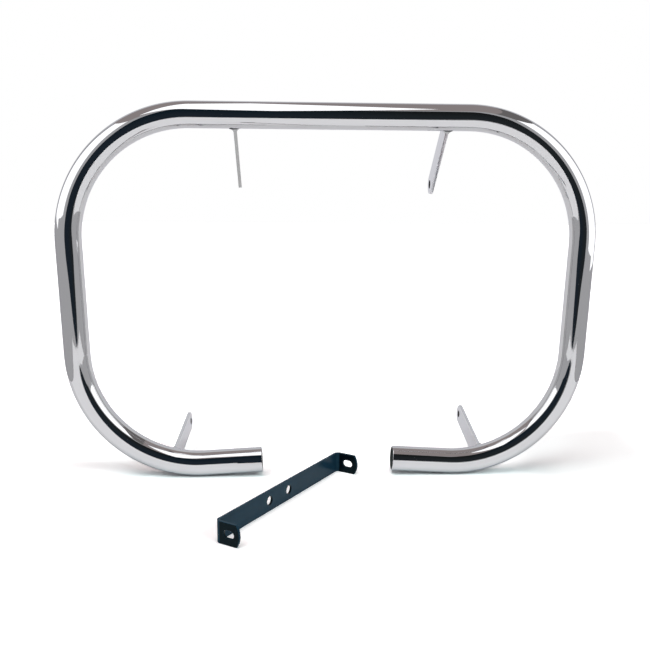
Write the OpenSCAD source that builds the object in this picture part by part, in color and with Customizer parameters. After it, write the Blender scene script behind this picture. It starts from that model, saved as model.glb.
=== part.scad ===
// Motorcycle crash bars: one bent steel tube that forms an open loop, four
// flat tabs welded to it, and a loose bent bracket that stands in front.
// Millimetres, +Z up. The loop stands in a plane across Y, open at the bottom.

/* [Tube] */
// Outer diameter of the tube
tube_d = 38; // [30:0.5:45]
// Wall thickness of the tube
tube_wall = 2; // [1.5:0.1:3]
// Radius of the four bends, at the middle of the tube
bend_r = 176; // [120:1:220]
// Half the length of the straight stretch along the top
top_half = 200; // [190:1:300]
// Length of each straight side
side_len = 164; // [80:1:260]
// Length of the straight stretch at each open end
end_len = 86; // [40:1:94]
// Angle that each upper bend turns through
upper_turn = 91.8; // [88:0.1:94]
// Angle that each lower bend turns through
lower_turn = 91.4; // [88:0.1:94]

/* [Tabs] */
// Width of the flat bar that the tabs are cut from
tab_w = 30; // [24:0.5:34]
// Thickness of the tabs
tab_t = 5; // [3:0.25:8]
// Distance from the middle of the tube to the bolt hole of each tab
tab_reach = 145; // [80:1:200]
// Diameter of the bolt holes in the upper tabs
upper_hole_d = 13; // [8:0.5:16]
// Diameter of the bolt holes in the lower tabs
lower_hole_d = 11; // [8:0.5:16]
// Length of each leg of the weld bead around the foot of a tab
weld_leg = 6; // [3:0.25:8]
// Radius of the hollow face of the weld bead
weld_hollow_r = 9; // [8.5:0.5:20]
// Angle that the weld bead runs round the tube, to each side of the tab's middle
weld_wrap = 75; // [60:1:80]

/* [Upper left tab] */
// Distance of the tab from the middle of the loop
upper_left_x = 137; // [60:0.5:180]
// Angle of the tab from straight down towards the back
upper_left_swing_angle = 52.1; // [30:0.1:80]
// Angle that the tab leans in towards the middle
upper_left_lean_angle = 0.6; // [-3:0.1:8]
// Twist of the tab about its own length
upper_left_twist_angle = -5.4; // [-8:0.1:8]

/* [Upper right tab] */
// Distance of the tab from the middle of the loop
upper_right_x = 169; // [60:0.5:180]
// Angle of the tab from straight down towards the back
upper_right_swing_angle = 48.2; // [30:0.1:80]
// Angle that the tab leans in towards the middle
upper_right_lean_angle = 1; // [-3:0.1:8]
// Twist of the tab about its own length
upper_right_twist_angle = -0.7; // [-8:0.1:8]

/* [Lower left tab] */
// Place of the tab on the lower bend, as an angle from its lowest point
lower_left_place_angle = 12.3; // [5:0.1:60]
// Angle of the tab from straight down towards the back
lower_left_swing_angle = 97.3; // [85:0.1:140]
// Angle that the tab leans in towards the middle
lower_left_lean_angle = 3.1; // [-3:0.1:8]
// Twist of the tab about its own length
lower_left_twist_angle = -2.3; // [-8:0.1:8]

/* [Lower right tab] */
// Place of the tab on the lower bend, as an angle from its lowest point
lower_right_place_angle = 13.6; // [5:0.1:60]
// Angle of the tab from straight down towards the back
lower_right_swing_angle = 100.8; // [85:0.1:140]
// Angle that the tab leans in towards the middle
lower_right_lean_angle = 0.6; // [-3:0.1:8]
// Twist of the tab about its own length
lower_right_twist_angle = -3.2; // [-8:0.1:8]

/* [Bracket] */
// Length of the bracket over its two ears
bracket_len = 303; // [280:1:310]
// Width of the bracket's flat bar, which is its height as it stands
bracket_w = 30; // [20:0.5:36]
// Thickness of the bracket's flat bar
bracket_t = 3.5; // [2.5:0.25:6]
// Depth of each ear, from the back of the bar to its tip
ear_depth = 38; // [34:0.5:45]
// Radius of the rounded tip of each ear
ear_tip_r = 26; // [19:0.5:33]
// Inner radius of the bracket's two bends
bracket_bend_r = 4; // [2:0.5:6]
// Length of the slot in each ear
slot_len = 16; // [12:0.5:20]
// Width of the slot in each ear
slot_w = 10.5; // [6:0.5:12]
// Distance from the back of the bar to the middle of the slot
slot_place = 21.5; // [20:0.5:24]
// Diameter of the two round holes in the bar
bracket_hole_d = 12.5; // [6:0.5:16]
// Distance from the near ear's outer face to the first round hole
hole_place = 116.5; // [40:0.5:160]
// Distance between the two round holes
hole_spacing = 47.5; // [20:0.5:70]
// Place of the bracket's near corner across the loop
bracket_x = -153.5; // [-170:0.5:-140]
// Distance of the bracket's near corner in front of the loop
bracket_front = 236.5; // [225:0.5:300]
// Angle of the bracket, turned clockwise from straight back
bracket_turn = 33.8; // [32:0.1:36]

/* [Hidden] */
$fn = 96;

tube_r = tube_d / 2;
bore_r = tube_r - tube_wall;
slip = 0.5;
// How far each straight laps into the bends beside it, and how much thinner
// the bends are, so that every joint in the tube is one clean step
lap = 2;
step = 0.1;
// How far the toes of a weld bead run on under the skin of the tube
toe = 1;

// Height of the top stretch over the floor, with the lower bends on it
top_z = tube_r + 2 * bend_r + side_len * sin(upper_turn);
// Middle of the lower bends, across the loop and up
lower_bend_x = top_half + side_len * cos(upper_turn);
lower_bend_z = tube_r + bend_r;

// Depth of the whole set, front to back, which sets the loop on Y
function tab_back(swing, lean) = tab_reach * sin(swing) * cos(lean) + tab_w / 2;
set_back = max(
    tab_back(upper_left_swing_angle, upper_left_lean_angle),
    tab_back(upper_right_swing_angle, upper_right_lean_angle),
    tab_back(lower_left_swing_angle, lower_left_lean_angle),
    tab_back(lower_right_swing_angle, lower_right_lean_angle)
);
set_front = bracket_front + ear_depth * sin(bracket_turn);
loop_y = (set_front - set_back) / 2;

chrome = [0.82, 0.83, 0.85];
bead = [0.66, 0.67, 0.69];
coat = [0.13, 0.19, 0.25];

// Straight stretch of round bar along +X, with its laps
module run(length, r) {
    translate([-lap, 0, 0])
        rotate([0, 90, 0]) cylinder(h = length + 2 * lap, r = r);
}

// Bend that leaves along +X and turns down
module bend(turn, r) {
    translate([0, 0, -bend_r])
        rotate([90, 0, 0])
            rotate([0, 0, 90 - turn])
                rotate_extrude(angle = turn)
                    translate([bend_r, 0]) circle(r = r - step);
}

// What follows a bend, in the direction that the bend ends in
module past_bend(turn) {
    translate([bend_r * sin(turn), 0, -bend_r * (1 - cos(turn))])
        rotate([0, turn, 0])
            children();
}

// One half of the loop, from the end of the top stretch to past its open end
module half_loop(r, extra) {
    translate([top_half, 0, 0]) {
        bend(upper_turn, r);
        past_bend(upper_turn) {
            run(side_len, r);
            translate([side_len, 0, 0]) {
                bend(lower_turn, r);
                past_bend(lower_turn) run(end_len - lap + extra, r);
            }
        }
    }
}

// The whole loop as solid bar of a given radius
module loop_bar(r, extra = 0) {
    translate([0, loop_y, top_z]) {
        translate([-top_half, 0, 0]) run(2 * top_half, r);
        half_loop(r, extra);
        mirror([1, 0, 0]) half_loop(r, extra);
    }
}

module tube() {
    color(chrome)
        difference() {
            loop_bar(tube_r);
            loop_bar(bore_r, slip);
        }
}

// Sets a tab's foot on the middle of the tube, on the right or left side
module at_foot(side, x, z, swing, lean, twist) {
    mirror([side < 0 ? 1 : 0, 0, 0])
        translate([x, loop_y, z])
            rotate([swing, 0, 0])
                rotate([0, lean, 0])
                    rotate([0, 0, twist])
                        children();
}

module at_upper(side, x, swing, lean, twist) {
    at_foot(side, x, top_z, swing, lean, twist) children();
}

module at_lower(side, place, swing, lean, twist) {
    at_foot(
        side,
        lower_bend_x + bend_r * sin(place),
        lower_bend_z - bend_r * cos(place),
        swing, lean, twist
    ) children();
}

// Flat bar that hangs down from the middle of the tube, with a round tip
module tab_bar(hole_d) {
    rotate([0, 90, 0])
        translate([0, 0, -tab_t / 2])
            linear_extrude(height = tab_t)
                difference() {
                    union() {
                        translate([0, -tab_w / 2]) square([tab_reach, tab_w]);
                        translate([tab_reach, 0]) circle(d = tab_w);
                    }
                    translate([tab_reach, 0]) circle(d = hole_d);
                }
}

// Section of a weld bead, with both hollow faces, whose toes run on into the tube
module bead_section() {
    hollow_c = (weld_leg + sqrt(2 * pow(weld_hollow_r, 2) - pow(weld_leg, 2))) / 2;
    half_w = tab_t / 2 + weld_leg + toe;
    difference() {
        translate([bore_r, -half_w])
            square([tube_r + weld_leg - bore_r, 2 * half_w]);
        for (s = [-1, 1])
            translate([tube_r + hollow_c, s * (tab_t / 2 + hollow_c)])
                circle(r = weld_hollow_r);
    }
}

// Weld bead along both faces of a tab, which runs out past the tab's edges
module bead_ring() {
    intersection() {
        rotate([0, 90, 0])
            rotate([0, 0, -weld_wrap])
                rotate_extrude(angle = 2 * weld_wrap)
                    bead_section();
        translate([0, 0, -weld_leg])
            rotate([0, 90, 0])
                cylinder(h = tab_t + 4 * weld_leg, r = tube_r, center = true);
    }
}

module upper_left() {
    at_upper(
        -1, upper_left_x, upper_left_swing_angle,
        upper_left_lean_angle, upper_left_twist_angle
    ) children();
}

module upper_right() {
    at_upper(
        1, upper_right_x, upper_right_swing_angle,
        upper_right_lean_angle, upper_right_twist_angle
    ) children();
}

module lower_left() {
    at_lower(
        -1, lower_left_place_angle, lower_left_swing_angle,
        lower_left_lean_angle, lower_left_twist_angle
    ) children();
}

module lower_right() {
    at_lower(
        1, lower_right_place_angle, lower_right_swing_angle,
        lower_right_lean_angle, lower_right_twist_angle
    ) children();
}

// A tab cut to sit on the tube
module seated_tab() {
    color(chrome)
        difference() {
            children();
            loop_bar(tube_r);
        }
}

// A weld bead cut to sit on the tube and round the tab
module seated_weld() {
    color(bead)
        difference() {
            children(0);
            children(1);
            loop_bar(tube_r);
        }
}

module tab_upper_left() { seated_tab() upper_left() tab_bar(upper_hole_d); }
module tab_upper_right() { seated_tab() upper_right() tab_bar(upper_hole_d); }
module tab_lower_left() { seated_tab() lower_left() tab_bar(lower_hole_d); }
module tab_lower_right() { seated_tab() lower_right() tab_bar(lower_hole_d); }

module weld_upper_left() {
    seated_weld() {
        upper_left() bead_ring();
        upper_left() tab_bar(upper_hole_d);
    }
}

module weld_upper_right() {
    seated_weld() {
        upper_right() bead_ring();
        upper_right() tab_bar(upper_hole_d);
    }
}

module weld_lower_left() {
    seated_weld() {
        lower_left() bead_ring();
        lower_left() tab_bar(lower_hole_d);
    }
}

module weld_lower_right() {
    seated_weld() {
        lower_right() bead_ring();
        lower_right() tab_bar(lower_hole_d);
    }
}

// Plan of the bent bar: the back along +Y, the ears along +X
module bracket_plan() {
    outer_r = bracket_bend_r + bracket_t;
    translate([0, outer_r]) square([bracket_t, bracket_len - 2 * outer_r]);
    for (far = [0, 1])
        translate([0, far * bracket_len])
            mirror([0, far]) {
                translate([outer_r, 0]) square([ear_depth - outer_r, bracket_t]);
                intersection() {
                    difference() {
                        translate([outer_r, outer_r]) circle(r = outer_r);
                        translate([outer_r, outer_r]) circle(r = bracket_bend_r);
                    }
                    square(outer_r);
                }
            }
}

// Side view of an ear: the bar's width up Z, the rounded tip at the front
module ear_outline() {
    tip_mid = ear_depth - ear_tip_r;
    intersection() {
        square([ear_depth, bracket_w]);
        union() {
            square([tip_mid, bracket_w]);
            translate([tip_mid, bracket_w / 2]) circle(r = ear_tip_r);
        }
    }
}

// Cutter for the slots of both ears, along the length of the bracket
module ear_slots() {
    reach = (slot_len - slot_w) / 2;
    translate([0, bracket_len + slip, bracket_w / 2])
        rotate([90, 0, 0])
            linear_extrude(height = bracket_len + 2 * slip) {
                for (s = [-1, 1])
                    translate([slot_place + s * reach, 0]) circle(d = slot_w);
                translate([slot_place - reach, -slot_w / 2]) square([2 * reach, slot_w]);
            }
}

module bracket() {
    color(coat)
        translate([bracket_x, loop_y - bracket_front, 0])
            rotate([0, 0, -bracket_turn])
                difference() {
                    intersection() {
                        linear_extrude(height = bracket_w) bracket_plan();
                        translate([0, bracket_len, 0])
                            rotate([90, 0, 0])
                                linear_extrude(height = bracket_len) ear_outline();
                    }
                    ear_slots();
                    for (place = [hole_place, hole_place + hole_spacing])
                        translate([-slip, place, bracket_w / 2])
                            rotate([0, 90, 0])
                                cylinder(h = bracket_t + 2 * slip, d = bracket_hole_d);
                }
}

tube();
tab_upper_left();
tab_upper_right();
tab_lower_left();
tab_lower_right();
weld_upper_left();
weld_upper_right();
weld_lower_left();
weld_lower_right();
bracket();
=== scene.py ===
import math

import bmesh
import bpy
from mathutils import Matrix, Vector, noise


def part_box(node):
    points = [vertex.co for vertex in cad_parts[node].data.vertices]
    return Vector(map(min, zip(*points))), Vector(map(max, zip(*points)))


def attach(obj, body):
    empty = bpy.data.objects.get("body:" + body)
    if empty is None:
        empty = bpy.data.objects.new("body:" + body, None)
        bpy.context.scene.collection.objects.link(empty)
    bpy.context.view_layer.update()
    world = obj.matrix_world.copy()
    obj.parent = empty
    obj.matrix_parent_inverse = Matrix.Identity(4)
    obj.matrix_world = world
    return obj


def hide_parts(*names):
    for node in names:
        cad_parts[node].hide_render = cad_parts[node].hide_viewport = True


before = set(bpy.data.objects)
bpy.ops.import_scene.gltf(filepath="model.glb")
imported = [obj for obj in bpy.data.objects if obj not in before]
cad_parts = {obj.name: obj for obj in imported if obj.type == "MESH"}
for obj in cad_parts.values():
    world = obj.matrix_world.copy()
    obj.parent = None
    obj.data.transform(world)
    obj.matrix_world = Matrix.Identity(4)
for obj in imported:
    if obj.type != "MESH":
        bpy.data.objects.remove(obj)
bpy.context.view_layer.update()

# Sizes of the source, in metres
MM = 0.001
TUBE_R = 19 * MM
BORE_R = 17 * MM
BEND_R = 176 * MM
TOP_HALF = 200 * MM
SIDE_LEN = 164 * MM
END_LEN = 86 * MM
UPPER_TURN = math.radians(91.8)
LOWER_TURN = math.radians(91.4)
TAB_W = 30 * MM
TAB_T = 5 * MM
TAB_REACH = 145 * MM
WELD_LEG = 6 * MM
TOP_Z = TUBE_R + 2 * BEND_R + SIDE_LEN * math.sin(UPPER_TURN)
LOWER_BEND_X = TOP_HALF + SIDE_LEN * math.cos(UPPER_TURN)
LOWER_BEND_Z = TUBE_R + BEND_R

BRACKET_LEN = 303 * MM
BRACKET_W = 30 * MM
BRACKET_T = 3.5 * MM
EAR_DEPTH = 38 * MM
EAR_TIP_R = 26 * MM
BRACKET_BEND_R = 4 * MM
SLOT_LEN = 16 * MM
SLOT_W = 10.5 * MM
SLOT_PLACE = 21.5 * MM
BRACKET_HOLE_D = 12.5 * MM
HOLE_PLACES = (116.5 * MM, 164 * MM)
BRACKET_TURN = math.radians(33.8)

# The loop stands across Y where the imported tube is
tube_low, tube_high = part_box("tube")
LOOP_Y = (tube_low[1] + tube_high[1]) / 2
BRACKET_CORNER = Vector((-153.5 * MM, LOOP_Y - 236.5 * MM, 0))


def bend_foot(turned):
    """The place on a lower bend's middle line that is this many degrees round from its lowest point."""
    a = math.radians(turned)
    return LOWER_BEND_X + BEND_R * math.sin(a), LOWER_BEND_Z - BEND_R * math.cos(a)


# For each tab: its side, its foot on the tube's middle line (x, z), its swing, lean and twist in
# degrees, the diameter of its hole, and how far the tube runs uphill at its foot, in degrees
TABS = {
    "upper_left": (-1, (137 * MM, TOP_Z), 52.1, 0.6, -5.4, 13 * MM, 0),
    "upper_right": (1, (169 * MM, TOP_Z), 48.2, 1.0, -0.7, 13 * MM, 0),
    "lower_left": (-1, bend_foot(12.3), 97.3, 3.1, -2.3, 11 * MM, 12.3),
    "lower_right": (1, bend_foot(13.6), 100.8, 0.6, -3.2, 11 * MM, 13.6),
}
WELD_SEEDS = {"upper_left": 1.3, "upper_right": 4.7, "lower_left": 9.1, "lower_right": 14.9}

# Steps and small sizes that only this visual model has
TUBE_SIDES = 112
BEND_STEPS = 62
RIM_CHAMFER = 0.35 * MM
EDGE_ROUNDING = 0.5 * MM
WALL_SLACK = 0.2 * MM
RIPPLE_PITCH = 2.7 * MM
RIPPLE_HEIGHT = 0.22 * MM
WANDER_HEIGHT = 0.25 * MM
BEAD_HOLLOW = 0.26
TOE_SUNK = 0.25 * MM


# Meshes

def new_piece(name, verts, faces, material, replaced):
    mesh = bpy.data.meshes.new(name)
    mesh.from_pydata([tuple(v) for v in verts], [], faces)
    mesh.validate()
    mesh.update()
    for p in mesh.polygons:
        p.use_smooth = True
    obj = bpy.data.objects.new(name, mesh)
    bpy.context.scene.collection.objects.link(obj)
    mesh.materials.append(material)
    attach(obj, "root")
    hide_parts(replaced)
    return obj


def fix_normals(obj):
    bm = bmesh.new()
    bm.from_mesh(obj.data)
    bmesh.ops.recalc_face_normals(bm, faces=bm.faces)
    bm.to_mesh(obj.data)
    bm.free()


def loop_path():
    """Points and directions along the middle of the tube, from the left open end to the right one."""
    half = []
    x, z = TOP_HALF, TOP_Z
    for turn, length in ((UPPER_TURN, SIDE_LEN), (LOWER_TURN, END_LEN)):
        start = half[-1][1] if half else 0.0
        cx = x - BEND_R * math.sin(start)
        cz = z - BEND_R * math.cos(start)
        for i in range(1 if half else 0, BEND_STEPS + 1):
            a = start + turn * i / BEND_STEPS
            half.append(((cx + BEND_R * math.sin(a), cz + BEND_R * math.cos(a)), a))
        a = start + turn
        x = cx + BEND_R * math.sin(a) + length * math.cos(a)
        z = cz + BEND_R * math.cos(a) - length * math.sin(a)
        half.append(((x, z), a))
    right = [(Vector((p[0], LOOP_Y, p[1])), Vector((math.cos(a), 0, -math.sin(a)))) for p, a in half]
    left = [(Vector((-p.x, p.y, p.z)), Vector((d.x, 0, -d.z))) for p, d in reversed(right)]
    return left + right


def ring_sheet(stations, sides):
    """Rings of points joined into one closed sheet of quads, from the last ring back to the first."""
    across = Vector((0, 1, 0))
    verts = []
    for p, d, r in stations:
        up = across.cross(d)
        for k in range(sides):
            a = 2 * math.pi * k / sides
            verts.append(p + (across * math.cos(a) + up * math.sin(a)) * r)
    faces = []
    n = len(stations)
    for i in range(n):
        j = (i + 1) % n
        for k in range(sides):
            m = (k + 1) % sides
            faces.append((i * sides + k, i * sides + m, j * sides + m, j * sides + k))
    return verts, faces


def build_tube(material, inside_material):
    """One closed skin: the outside, both rims and the bore. The bore's faces carry the dull finish."""
    path = loop_path()
    first_p, first_d = path[0]
    last_p, last_d = path[-1]
    outside = [(p, d, TUBE_R) for p, d in path]
    # a second ring close to each end keeps the long straight faces free of the rim's rounding
    rounding = RIM_CHAMFER + 0.8 * MM
    outside[:1] = [
        (first_p + first_d * RIM_CHAMFER, first_d, TUBE_R),
        (first_p + first_d * rounding, first_d, TUBE_R),
    ]
    outside[-1:] = [
        (last_p - last_d * rounding, last_d, TUBE_R),
        (last_p - last_d * RIM_CHAMFER, last_d, TUBE_R),
    ]
    mid = (TUBE_R + BORE_R) / 2
    slight = RIM_CHAMFER * 0.3
    last_rim = [
        (last_p - last_d * slight, last_d, TUBE_R - slight),
        (last_p, last_d, TUBE_R - RIM_CHAMFER),
        (last_p, last_d, mid),
        (last_p, last_d, BORE_R + RIM_CHAMFER),
        (last_p - last_d * slight, last_d, BORE_R + slight),
        (last_p - last_d * RIM_CHAMFER, last_d, BORE_R),
    ]
    inside = [(p, d, BORE_R) for p, d in reversed(path[1:-1])]
    first_rim = [
        (first_p + first_d * RIM_CHAMFER, first_d, BORE_R),
        (first_p + first_d * slight, first_d, BORE_R + slight),
        (first_p, first_d, BORE_R + RIM_CHAMFER),
        (first_p, first_d, mid),
        (first_p, first_d, TUBE_R - RIM_CHAMFER),
        (first_p + first_d * slight, first_d, TUBE_R - slight),
    ]
    verts, faces = ring_sheet(outside + last_rim + inside + first_rim, TUBE_SIDES)
    obj = new_piece("tube_skin", verts, faces, material, "tube")
    fix_normals(obj)
    obj.data.materials.append(inside_material)
    first_inside = len(outside) + len(last_rim) - 1
    last_inside = first_inside + len(inside) + 1
    for p in obj.data.polygons:
        ring = min(p.vertices) // TUBE_SIDES
        if first_inside <= ring < last_inside:
            p.material_index = 1


def arc(cx, cy, r, a0, a1, n):
    return [
        (cx + r * math.cos(a0 + (a1 - a0) * i / n), cy + r * math.sin(a0 + (a1 - a0) * i / n))
        for i in range(n + 1)
    ]


def hole_arc(place, d, n=24):
    """Upper half of a round hole, from its far side to its near side."""
    return arc(place, 0, d / 2, 0, math.pi, n)


def slot_arc(place, length, width, n=12):
    """Upper half of a slot, from its far side to its near side."""
    h = (length - width) / 2
    right = arc(place + h, 0, width / 2, 0, math.pi / 2, n)
    left = arc(place - h, 0, width / 2, math.pi / 2, math.pi, n)
    return right + left


class Folded:
    """A plate with equal halves above and below v = 0, laid out flat in (u, v) and mapped to two skins."""

    def __init__(self, mapping):
        self.mapping = mapping
        self.index = {}
        self.points = []
        self.faces = []

    def vertex(self, u, v):
        key = (round(u, 7), round(v, 7))
        if key not in self.index:
            self.index[key] = len(self.points)
            self.points.append((u, v))
        return self.index[key]

    def half_face(self, pts):
        """Adds the face inside this outline of the upper half, and its mirror image below."""
        for s in (1, -1):
            ids = []
            for u, v in pts:
                i = self.vertex(u, v * s)
                if not ids or ids[-1] != i:
                    ids.append(i)
            if ids[0] == ids[-1]:
                ids.pop()
            self.faces.append(ids if s > 0 else ids[::-1])

    def mesh(self):
        """Both skins, joined by a wall along every edge that has a face on one side only."""
        n = len(self.points)
        verts = [self.mapping(u, v, 0) for u, v in self.points]
        verts += [self.mapping(u, v, 1) for u, v in self.points]
        faces = [tuple(f) for f in self.faces]
        faces += [tuple(i + n for i in reversed(f)) for f in self.faces]
        edges = {(a, b): True for f in self.faces for a, b in zip(f, f[1:] + f[:1])}
        for a, b in edges:
            if (b, a) not in edges:
                faces.append((b, a, a + n, b + n))
        return verts, faces


def bevel_rims(obj):
    """Rounds the edges where the side walls meet the flat faces, and keeps the flats flat."""
    bm = bmesh.new()
    bm.from_mesh(obj.data)
    bmesh.ops.recalc_face_normals(bm, faces=bm.faces)
    sharp = [e for e in bm.edges if len(e.link_faces) == 2 and e.calc_face_angle(0) > math.radians(60)]
    bmesh.ops.bevel(bm, geom=sharp, offset=EDGE_ROUNDING, offset_type="OFFSET", segments=3, profile=0.5,
                    affect="EDGES", clamp_overlap=True)
    bm.to_mesh(obj.data)
    bm.free()
    for p in obj.data.polygons:
        p.use_smooth = True
    mod = obj.modifiers.new("even_normals", "WEIGHTED_NORMAL")
    mod.keep_sharp = True
    mod.weight = 100


def shade_hole_walls(obj, material, in_hole):
    """Gives the walls of a plate's holes a second, darker material: painted shade."""
    obj.data.materials.append(material)
    for p in obj.data.polygons:
        if in_hole(p.center):
            p.material_index = 1


def tab_matrix(name):
    """Places a tab that hangs straight down from the origin, seen edge on, at its foot in the loop."""
    side, (x, z), swing, lean, twist, hole, uphill = TABS[name]
    m = (
        Matrix.Translation((x, 0, z))
        @ Matrix.Rotation(math.radians(swing), 4, "X")
        @ Matrix.Rotation(math.radians(lean), 4, "Y")
        @ Matrix.Rotation(math.radians(twist), 4, "Z")
    )
    return Matrix.Translation((0, LOOP_Y, 0)) @ Matrix.Scale(side, 4, (1, 0, 0)) @ m


def build_tab(name, material, wall_shade):
    hole = TABS[name][5]
    m = tab_matrix(name)
    half = TAB_W / 2
    root_r = (TUBE_R + BORE_R) / 2
    root = [(math.sqrt(root_r ** 2 - (half * i / 8) ** 2), half * i / 8) for i in range(9)]
    tip = arc(TAB_REACH, 0, half, math.pi / 2, 0, 28)
    plate = Folded(lambda u, v, w: m @ Vector(((0.5 - w) * TAB_T, v, -u)))
    plate.half_face(root + tip + hole_arc(TAB_REACH, hole))
    verts, faces = plate.mesh()
    obj = new_piece("tab_" + name + "_plate", verts, faces, material, "tab_" + name)
    bevel_rims(obj)
    to_plate = m.inverted()

    def in_hole(center):
        c = to_plate @ center
        return math.hypot(c.y, c.z + TAB_REACH) < hole / 2 + WALL_SLACK

    shade_hole_walls(obj, wall_shade, in_hole)


def weld_ring():
    """Closed path round the foot of a tab: points on the bar's edge, each with the way out from it."""
    t, w = TAB_T / 2, TAB_W / 2
    corners = [(t, -w), (t, w), (-t, w), (-t, -w)]
    ways_out = [(1, 0), (0, 1), (-1, 0), (0, -1)]
    steps_along = [44, 6, 44, 6]
    steps_at_corner = 14
    ring = []
    for k in range(4):
        (x0, y0), (x1, y1) = corners[k], corners[(k + 1) % 4]
        n = steps_along[k]
        for i in range(n):
            ring.append((x0 + (x1 - x0) * i / n, y0 + (y1 - y0) * i / n, *ways_out[k]))
        for i in range(steps_at_corner):
            a = math.pi / 2 * (k + i / steps_at_corner)
            ring.append((x1, y1, math.cos(a), math.sin(a)))
    return ring


def on_tube(x, angle, lift):
    """A point over the tube's skin, at an angle round it from the tab's own direction."""
    return Vector((x, math.sin(angle) * (TUBE_R + lift), -math.cos(angle) * (TUBE_R + lift)))


def build_weld(name, material):
    """A fillet bead round the foot of the tab, with the ripples that each pass leaves."""
    ring = weld_ring()
    seed = WELD_SEEDS[name]
    rows = 10
    face = []
    bar_core, tube_core, middle_core = [], [], []
    walk = 0.0
    last = None
    for px, py, nx, ny in ring:
        foot = Vector((px, py, -math.sqrt(TUBE_R ** 2 - py ** 2)))
        toe_angle = math.asin(py / TUBE_R) + ny * WELD_LEG / TUBE_R
        toe = on_tube(px + nx * WELD_LEG, toe_angle, -TOE_SUNK)
        high = Vector((px - nx * 0.2 * MM, py - ny * 0.2 * MM, foot.z - WELD_LEG))
        here = foot + Vector((nx, ny, 0)) * 3 * MM
        if last is not None:
            walk += (here - last).length
        last = here
        unrest = 0.6 * noise.noise(Vector((walk * 300, seed, 0)))
        ripple = math.sin(2 * math.pi * walk / RIPPLE_PITCH + unrest)
        ripple = (abs(ripple) ** 0.7) * (1 if ripple > 0 else -0.6)
        wander = noise.noise(Vector((walk * 160, seed, 3.1)))
        for q in range(rows + 1):
            t = q / rows
            belly = 4 * t * (1 - t)
            # hollow face, pulled in towards the root, then raised by the ripples
            p = high.lerp(toe, t).lerp(foot, BEAD_HOLLOW * belly)
            out = (p - foot).normalized()
            face.append(p + out * (RIPPLE_HEIGHT * ripple + WANDER_HEIGHT * wander) * belly)
        # three rows that close the bead behind its face, inside the bar and the tube's wall
        deep_x, deep_y = px * 0.5, py * 0.93
        bar_core.append(Vector((deep_x, deep_y, foot.z - WELD_LEG)))
        tube_core.append(on_tube(px + nx * WELD_LEG * 0.9, toe_angle * 0.97, -1.0 * MM))
        middle_core.append(Vector((deep_x, deep_y, -math.sqrt((TUBE_R - 1 * MM) ** 2 - deep_y ** 2))))
    n = len(ring)
    w = rows + 1
    faces = []
    for i in range(n):
        j = (i + 1) % n
        for q in range(rows):
            faces.append((i * w + q, j * w + q, j * w + q + 1, i * w + q + 1))
    in_bar, in_tube, in_middle = n * w, n * w + n, n * w + 2 * n
    for i in range(n):
        j = (i + 1) % n
        faces.append((in_bar + i, in_bar + j, j * w, i * w))
        faces.append((i * w + rows, j * w + rows, in_tube + j, in_tube + i))
        faces.append((in_tube + i, in_tube + j, in_middle + j, in_middle + i))
        faces.append((in_middle + i, in_middle + j, in_bar + j, in_bar + i))
    # the tube runs uphill past the lower tabs, so the bead's foot follows it
    m = tab_matrix(name)
    swing = math.radians(TABS[name][2])
    slope = math.tan(math.radians(TABS[name][6]))
    up = Vector((0, math.sin(swing), math.cos(swing)))
    verts = [m @ (v + up * (v.x * slope)) for v in face + bar_core + tube_core + middle_core]
    obj = new_piece("weld_" + name + "_bead", verts, faces, material, "weld_" + name)
    # marks the creases along both edges of the bead for painted shade, wider on the side that faces the
    # camera
    crease_shade = obj.data.attributes.new("toe", "FLOAT", "POINT")
    for i, (px, py, nx, ny) in enumerate(ring):
        front = max(0.0, -ny)
        for q in range(rows + 1):
            t = q / rows
            near_tube = (t - (0.86 - 0.50 * front)) / 0.12
            near_tab = (0.12 - t) / 0.1
            crease_shade.data[i * w + q].value = max(0.0, min(1.0, max(near_tube, near_tab)))
    fix_normals(obj)


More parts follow.
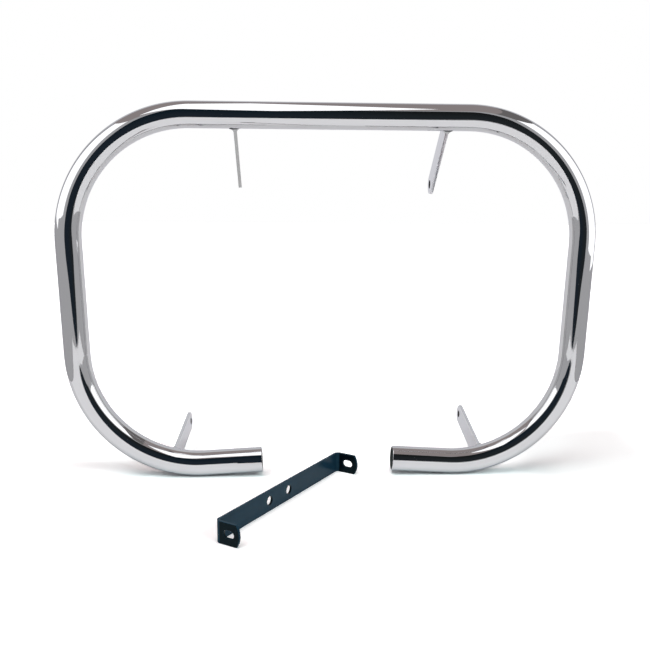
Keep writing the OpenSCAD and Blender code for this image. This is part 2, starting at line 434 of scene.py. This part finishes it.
def build_bracket(material, wall_shade):
    """Flat bar bent into a shallow U, laid out flat along u from one ear's tip to the other's."""
    outer_r = BRACKET_BEND_R + BRACKET_T
    bend_steps = 10
    tip_steps = 14
    half = BRACKET_W / 2
    along = Vector((math.sin(BRACKET_TURN), math.cos(BRACKET_TURN), 0))
    out = Vector((math.cos(BRACKET_TURN), -math.sin(BRACKET_TURN), 0))
    ear = EAR_DEPTH - outer_r
    bend_u = outer_r * math.pi / 2
    # near ear up to u1, bend, back from u2 to u3, bend, far ear from u4
    u1 = ear
    u2 = u1 + bend_u
    u3 = u2 + BRACKET_LEN - 2 * outer_r
    u4 = u3 + bend_u

    def place(s, depth, v):
        return BRACKET_CORNER + along * s + out * depth + Vector((0, 0, half + v))

    def mapping(u, v, w):
        off = w * BRACKET_T
        r = outer_r - off
        if u <= u1 + 1e-9:
            return place(off, EAR_DEPTH - u, v)
        if u < u2 - 1e-9:
            a = (u - u1) / outer_r
            return place(outer_r - r * math.cos(a), outer_r - r * math.sin(a), v)
        if u <= u3 + 1e-9:
            return place(outer_r + (u - u2), off, v)
        if u < u4 - 1e-9:
            a = (u - u3) / outer_r
            return place(BRACKET_LEN - outer_r + r * math.sin(a), outer_r - r * math.cos(a), v)
        return place(BRACKET_LEN - off, outer_r + (u - u4), v)

    plate = Folded(mapping)
    tip_mid = EAR_DEPTH - EAR_TIP_R
    rise = math.asin(half / EAR_TIP_R)
    slot_at = EAR_DEPTH - SLOT_PLACE
    tip = [(EAR_DEPTH - (tip_mid + EAR_TIP_R * math.cos(a)), EAR_TIP_R * math.sin(a))
           for a in [rise * i / tip_steps for i in range(tip_steps + 1)]]
    tip[-1] = (tip[-1][0], half)
    far_tip = [(u4 + ear - u, v) for u, v in reversed(tip)]
    holes = []
    for at_s in reversed(HOLE_PLACES):
        holes += hole_arc(u2 - outer_r + at_s, BRACKET_HOLE_D)
    plate.half_face(tip + [(u1, half), (u1, 0)] + slot_arc(slot_at, SLOT_LEN, SLOT_W))
    for base in (u1, u3):
        for i in range(bend_steps):
            a, b = base + bend_u * i / bend_steps, base + bend_u * (i + 1) / bend_steps
            plate.half_face([(a, 0), (a, half), (b, half), (b, 0)])
    plate.half_face([(u2, 0), (u2, half), (u3, half), (u3, 0)] + holes)
    plate.half_face([(u4, 0), (u4, half)] + far_tip + slot_arc(u4 + ear - slot_at, SLOT_LEN, SLOT_W))
    verts, faces = plate.mesh()
    obj = new_piece("bracket_bar", verts, faces, material, "bracket")
    bevel_rims(obj)

    def in_hole(center):
        c = center - BRACKET_CORNER
        s, depth, v = c.dot(along), c.dot(out), c.z - half
        if depth < BRACKET_T:
            return any(math.hypot(s - at_s, v) < BRACKET_HOLE_D / 2 + WALL_SLACK for at_s in HOLE_PLACES)
        past = max(abs(depth - SLOT_PLACE) - (SLOT_LEN - SLOT_W) / 2, 0)
        return math.hypot(past, v) < SLOT_W / 2 + WALL_SLACK

    shade_hole_walls(obj, wall_shade, in_hole)


# Materials

def add(tree, kind, inputs=None, **settings):
    """Adds one node to the tree. Its inputs take plain values or the outputs of other nodes."""
    node = tree.nodes.new("ShaderNode" + kind)
    for key, value in settings.items():
        setattr(node, key, value)
    for key, value in (inputs or {}).items():
        if isinstance(value, bpy.types.NodeSocket):
            tree.links.new(value, node.inputs[key])
        else:
            node.inputs[key].default_value = value
    return node


def empty_material(name):
    material = bpy.data.materials.new(name)
    material.use_nodes = True
    material.node_tree.nodes.clear()
    return material, material.node_tree


def object_place(tree):
    return add(tree, "TexCoord").outputs["Object"]


def cloud(tree, place, scale, detail):
    return add(tree, "TexNoise", {"Vector": place, "Scale": scale, "Detail": detail}).outputs["Fac"]


def spread(tree, value, low, high, value_low=0.0, value_high=1.0):
    """Stretches a value from one range to another."""
    inputs = {"Value": value, "From Min": value_low, "From Max": value_high,
              "To Min": low, "To Max": high}
    return add(tree, "MapRange", inputs).outputs["Result"]


def mix_colors(tree, factor, first, second):
    inputs = {"Factor": factor, "A": first, "B": second}
    return add(tree, "Mix", inputs, data_type="RGBA").outputs["Result"]


def times(color, factor):
    return (*[c * factor for c in color], 1)


def chrome(name, color, edge, rough, rough_var, bump, scale, grain, painted_creases=False):
    """Plated steel: mirror-bright, with faint polishing waves and a slightly uneven gloss."""
    material, tree = empty_material(name)
    place = object_place(tree)
    wave = cloud(tree, place, scale, 3.0)
    fine = cloud(tree, place, grain, 5.0)
    duller = (color[0] * 0.95, color[1] * 0.955, color[2] * 0.965, 1)
    tint = mix_colors(tree, wave, (*color, 1), duller)
    if painted_creases:
        # painted shade: the creases along both edges of a bead are turned near black
        mark = add(tree, "Attribute", attribute_name="toe")
        tint = mix_colors(tree, mark.outputs["Fac"], tint, (0.012, 0.014, 0.016, 1))
    waves = add(tree, "Bump", {"Strength": bump, "Distance": 0.001, "Height": wave})
    surface = add(tree, "BsdfPrincipled", {
        "Base Color": tint,
        "Metallic": 1.0,
        "Roughness": spread(tree, fine, rough, rough + rough_var),
        "Specular Tint": (*edge, 1),
        "Normal": waves.outputs["Normal"],
    })
    add(tree, "OutputMaterial", {"Surface": surface.outputs["BSDF"]})
    return material


def powder_coat(name, color):
    """Satin powder coat over bent bar: fine orange peel, a little lighter where it is thin."""
    material, tree = empty_material(name)
    place = object_place(tree)
    peel = cloud(tree, place, 1100.0, 4.0)
    patches = cloud(tree, place, 55.0, 4.0)
    skin = add(tree, "Bump", {"Strength": 0.25, "Distance": 0.0002, "Height": peel})
    surface = add(tree, "BsdfPrincipled", {
        "Base Color": mix_colors(tree, patches, times(color, 0.86), times(color, 1.16)),
        "Metallic": 0.0,
        "Roughness": spread(tree, patches, 0.13, 0.22),
        "IOR": 1.5,
        "Specular IOR Level": 0.08,
        "Specular Tint": (0.45, 0.9, 0.95, 1),
        "Normal": skin.outputs["Normal"],
    })
    add(tree, "OutputMaterial", {"Surface": surface.outputs["BSDF"]})
    return material


def dull_steel_and_shade(name, color):
    """Bare, unpolished steel inside the tube; near black on the walls of the tabs' holes, as painted
    shade.
    """
    material, tree = empty_material(name)
    blotch = cloud(tree, object_place(tree), 120.0, 5.0)
    surface = add(tree, "BsdfPrincipled", {
        "Base Color": mix_colors(tree, blotch, times(color, 0.6), times(color, 1.4)),
        "Metallic": 0.6,
        "Roughness": spread(tree, blotch, 0.5, 0.7),
    })
    add(tree, "OutputMaterial", {"Surface": surface.outputs["BSDF"]})
    return material


def emitter(name, color, strength=1.0):
    material, tree = empty_material(name)
    glow = add(tree, "Emission", {"Color": (*color, 1), "Strength": strength})
    add(tree, "OutputMaterial", {"Surface": glow.outputs["Emission"]})
    return material


def dark_opening():
    """The unlit room beyond the table: bluish on the left, brownish on the right, darkest high up."""
    material, tree = empty_material("card_dark")
    split = add(tree, "SeparateXYZ", {"Vector": object_place(tree)})
    rightward = spread(tree, split.outputs["X"], 0.0, 1.0, -0.15, 0.35)
    upward = spread(tree, split.outputs["Z"], 0.0, 1.0, 0.5, 1.2)
    low = mix_colors(tree, rightward, (0.017, 0.026, 0.037, 1), (0.022, 0.027, 0.030, 1))
    high = mix_colors(tree, rightward, (0.006, 0.016, 0.026, 1), (0.014, 0.016, 0.017, 1))
    glow = add(tree, "Emission", {"Color": mix_colors(tree, upward, low, high)})
    add(tree, "OutputMaterial", {"Surface": glow.outputs["Emission"]})
    return material


# How white the paper looks, partly painted light that differs by place: in front of the loop,
# in front of its left lower bend, behind it, just outside its two lower bends, behind it in mirrors, and
# for the light that the paper throws back
FLOOR_WHITE = 1.25
FLOOR_LIT_FRONT_LEFT = 1.5
FLOOR_LIT_BEHIND = 1.5
FLOOR_FEET = 1.09
FLOOR_MIRRORED = 1.03
FLOOR_LIGHT = 0.92


def floor_material():
    """White paper that takes the shadows. Camera and mirror rays see it a step whiter than its light, and
    painted light whitens it further in some places, which hides or thins the shadows there.
    """
    material, tree = empty_material("paper")

    def step(source, low, high, at_low, at_high):
        inputs = {"Value": source, "From Min": low, "From Max": high,
                  "To Min": at_low, "To Max": at_high}
        return add(tree, "MapRange", inputs, interpolation_type="SMOOTHSTEP").outputs["Result"]

    def calc(operation, *values):
        return add(tree, "Math", dict(enumerate(values)), operation=operation).outputs[0]

    def blend(factor, first, second):
        inputs = {"Factor": factor, "A": first, "B": second}
        return add(tree, "Mix", inputs, data_type="FLOAT").outputs["Result"]

    def past_loop(source):
        return step(source, LOOP_Y - 0.04, LOOP_Y + 0.02, 0.0, 1.0)

    split = add(tree, "SeparateXYZ", {"Vector": object_place(tree)})
    x, y = split.outputs["X"], split.outputs["Y"]
    # behind the loop painted light makes the paper whitest and hides the shadows there, but for the places
    # just outside its two lower bends
    aside = calc("ABSOLUTE", calc("SUBTRACT", x, 0.05))
    middle = step(aside, 0.22, 0.30, 1.0, 0.0)
    outer = step(aside, 0.46, 0.55, 0.0, 1.0)
    beyond = step(calc("MULTIPLY_ADD", x, -0.18, y), LOOP_Y + 0.10, LOOP_Y + 0.16, 0.0, 1.0)
    clear = calc("MAXIMUM", calc("MAXIMUM", middle, outer), beyond)
    # in front of the left lower bend painted light makes the paper whiter, reaching a little further back,
    # and thins the shadow there
    front = step(x, -0.28, -0.18, FLOOR_LIT_FRONT_LEFT, FLOOR_WHITE)
    shifted = calc("SUBTRACT", y, step(x, -0.28, -0.18, 0.045, 0.0))
    seen = blend(past_loop(shifted), front, blend(clear, FLOOR_FEET, FLOOR_LIT_BEHIND))
    mirrored = blend(past_loop(y), FLOOR_WHITE, FLOOR_MIRRORED)
    path = add(tree, "LightPath").outputs
    mirror_ray = calc("MAXIMUM", path["Is Glossy Ray"], path["Is Transmission Ray"])
    shade = blend(path["Is Camera Ray"], blend(mirror_ray, FLOOR_LIGHT, mirrored), seen)
    surface = add(tree, "BsdfDiffuse", {"Color": shade})
    add(tree, "OutputMaterial", {"Surface": surface.outputs["BSDF"]})
    return material


TUBE_CHROME = chrome("chrome_tube", (0.55, 0.553, 0.566), (0.80, 0.80, 0.84), 0.03, 0.03, 0.05,
                     16.0, 240.0)
# each tab's colour seen straight on and near its outline; the tabs share one plating, and their different
# colours are painted shade and light, darkest on the upper left tab
TAB_SHADED_TINTS = {
    "upper_left": ((0.43, 0.435, 0.435), (0.80, 0.81, 0.81)),
    "upper_right": ((0.61, 0.61, 0.635), (0.92, 0.92, 0.95)),
    "lower_left": ((0.57, 0.58, 0.60), (0.88, 0.88, 0.91)),
    "lower_right": ((0.57, 0.58, 0.60), (0.88, 0.88, 0.91)),
}
WELD_CHROME = chrome("chrome_weld", (0.50, 0.51, 0.515), (0.85, 0.86, 0.88), 0.03, 0.06, 0.3,
                     400.0, 900.0, painted_creases=True)
INSIDE = dull_steel_and_shade("bare_steel", (0.045, 0.055, 0.055))
COAT = powder_coat("powder_coat", (0.008, 0.030, 0.052))
# painted shade: the walls of the tabs' holes are near black
TAB_HOLE_SHADE = dull_steel_and_shade("painted_shade_hole_wall", (0.004, 0.004, 0.005))
# painted shade: the walls of the bracket's holes are much darker than its coat
BRACKET_HOLE_SHADE = powder_coat("painted_shade_coat_in_holes", (0.0015, 0.004, 0.007))

build_tube(TUBE_CHROME, INSIDE)
for tab, shaded_tints in TAB_SHADED_TINTS.items():
    build_tab(tab, chrome("chrome_tab_" + tab, *shaded_tints, 0.03, 0.04, 0.12, 60.0, 500.0), TAB_HOLE_SHADE)
    build_weld(tab, WELD_CHROME)
build_bracket(COAT, BRACKET_HOLE_SHADE)


# Stage

def card(name, corners, material, only_mirror=True):
    """A flat studio card. The mirror-only ones are seen by reflections and cast nothing."""
    mesh = bpy.data.meshes.new(name)
    mesh.from_pydata([tuple(c) for c in corners], [], [tuple(range(len(corners)))])
    mesh.update()
    obj = bpy.data.objects.new(name, mesh)
    bpy.context.scene.collection.objects.link(obj)
    mesh.materials.append(material)
    if only_mirror:
        obj.visible_camera = False
        obj.visible_diffuse = False
        obj.visible_shadow = False
        obj.visible_transmission = False
        obj.visible_volume_scatter = False


def at(x, y, z):
    """Loop-centred studio coordinates to the model's frame."""
    return (x, y + LOOP_Y, z)


def level(name, x0, y0, x1, y1, z, material, only_mirror=True):
    """A level card between two opposite corners."""
    card(name, [at(x0, y0, z), at(x1, y0, z), at(x1, y1, z), at(x0, y1, z)], material, only_mirror)


def upright(name, x0, y0, x1, y1, low0, high0, low1, high1, material):
    """A card that stands on edge between two plan points, each with its own lower and upper height."""
    card(name, [at(x0, y0, low0), at(x1, y1, low1), at(x1, y1, high1), at(x0, y0, high0)], material)


WHITE = emitter("card_white", (1, 1, 1), 2.1)
DARK = dark_opening()
GREY = emitter("card_grey", (0.59, 0.585, 0.59))
BROWN = emitter("card_brown", (0.43, 0.375, 0.365))
DIM = emitter("card_dim", (0.225, 0.21, 0.205))
CEILING_Z = 2.65
OPENING_Y = -1.05
WALL_X = 0.72
WALL_BACK_Y = 0.45

level("floor", -6, -6, 6, 6, 0, floor_material(), False)

# overhead softbox, turned about 45 degrees, under a dull ceiling
SOFTBOX = [(-0.13, 0.155), (-0.53, -0.29), (-0.09, -0.70), (0.245, -0.205)]
card("softbox", [at(x, y, 1.0) for x, y in SOFTBOX], WHITE)
level("ceiling", -4, -4, 1.3, 1.95, CEILING_Z, BROWN)
level("ceiling_right", 1.3, -4, 5, 1.95, CEILING_Z, DIM)

# opening in front of the table, dark because the room behind it is unlit
OPENING = [(0, 0), (0.143, 0.009), (0.35, 0.066), (0.516, 0.161), (0.74, 0.229)]
OPENING_HIGH = [(0.78, 0.6), (0.78, 1.2), (0.5, 1.6)]
right_edge = OPENING + OPENING_HIGH
left_edge = [(-x, z) for x, z in reversed(right_edge[1:])]
card("opening", [at(x, OPENING_Y, z) for x, z in right_edge + left_edge], DARK)
rim = [(0.143, 0)] + OPENING[1:] + [(0.74, 0)]
for side in (-1, 1):
    card("opening_rim_%d" % side, [at(side * x, OPENING_Y + 0.001, z) for x, z in rim], GREY)
    # low grey walls beside the table, and the large white panels that stand behind them
    top = 0.41 if side < 0 else 0.30
    wall_x = side * WALL_X
    upright("wall_%d" % side, wall_x, OPENING_Y, wall_x, WALL_BACK_Y, 0, top, 0, top, GREY)
    upright("wall_back_%d" % side, wall_x, 0.09, wall_x, WALL_BACK_Y, top, 1.0, top, 1.0, GREY)
    upright("panel_%d" % side, side * 0.60, 0.11, side * 1.77, -1.62, top, 0.88, 0.02, 2.6, WHITE)
upright("front_grey", -4, -1.75, 4, -1.75, 0, 2.64, 0, 2.64, GREY)


def soft_sun(name, toward, spread_angle, strength, color):
    """Even light from one side of the studio, as soft as a large panel."""
    data = bpy.data.lights.new(name, "SUN")
    data.angle = math.radians(spread_angle)
    data.energy = strength
    data.color = color
    obj = bpy.data.objects.new(name, data)
    bpy.context.scene.collection.objects.link(obj)
    obj.rotation_euler = (-Vector(toward)).to_track_quat("-Z", "Y").to_euler()
    obj.visible_glossy = False


# the warm and the cool lamps are neutral together and leave the shadows a little warm
soft_sun("light_top", (-0.1, -0.18, 1.0), 55, 1.78, (1.0, 0.84, 0.84))
soft_sun("light_left", (-0.6, -0.65, 1.0), 30, 0.86, (0.80, 1.0, 1.0))
soft_sun("light_right", (1.2, -0.9, 1.0), 26, 1.05, (0.80, 1.0, 1.0))


def build_world():
    """White for the camera, a little less for mirrors, and only a faint fill on everything else."""
    world = bpy.data.worlds.new("studio")
    bpy.context.scene.world = world
    world.use_nodes = True
    tree = world.node_tree
    tree.nodes.clear()

    def background(color, strength):
        return add(tree, "Background", {"Color": (*color, 1), "Strength": strength}).outputs[0]

    path = add(tree, "LightPath").outputs
    fill = background((0.97, 0.98, 1), 0.10)
    in_mirrors = background((0.99, 0.99, 1), 0.89)
    in_view = background((1, 1, 1), 1.0)
    others = add(tree, "MixShader", {0: path["Is Glossy Ray"], 1: fill, 2: in_mirrors}).outputs[0]
    surface = add(tree, "MixShader", {0: path["Is Camera Ray"], 1: others, 2: in_view}).outputs[0]
    add(tree, "OutputWorld", {"Surface": surface})


build_world()

# Camera, fitted to the photograph
FOCAL_PX = 836.26
FRAME_PX = 650
AZ, EL, ROLL = math.radians(-3.058), math.radians(10.57), math.radians(0.499)
DISTANCE = 1.24509
TARGET = Vector(at(-0.00438, 0, 0.23177))
HALF_PIXEL = 0.5 / FOCAL_PX
SENSOR = 36.0


def build_camera():
    back = Vector((math.sin(AZ) * math.cos(EL), -math.cos(AZ) * math.cos(EL), math.sin(EL)))
    forward = -back
    right = forward.cross(Vector((0, 0, 1))).normalized()
    up = right.cross(forward)
    rolled_right = right * math.cos(ROLL) + up * math.sin(ROLL)
    rolled_up = up * math.cos(ROLL) - right * math.sin(ROLL)
    # the fit put the centres of pixels at whole numbers, so its middle lies half a pixel off the frame's
    forward = (forward - rolled_right * HALF_PIXEL + rolled_up * HALF_PIXEL).normalized()
    rolled_right = (rolled_right - forward * rolled_right.dot(forward)).normalized()
    rolled_up = rolled_right.cross(forward)
    data = bpy.data.cameras.new("camera")
    data.sensor_fit = "HORIZONTAL"
    data.sensor_width = SENSOR
    data.lens = SENSOR * FOCAL_PX / FRAME_PX
    data.clip_start = 0.01
    data.clip_end = 50
    camera = bpy.data.objects.new("camera", data)
    bpy.context.scene.collection.objects.link(camera)
    turned = Matrix((rolled_right, rolled_up, -forward)).transposed()
    camera.matrix_world = Matrix.Translation(TARGET + back * DISTANCE) @ turned.to_4x4()
    bpy.context.scene.camera = camera


build_camera()
bpy.context.scene.view_settings.view_transform = "Standard"
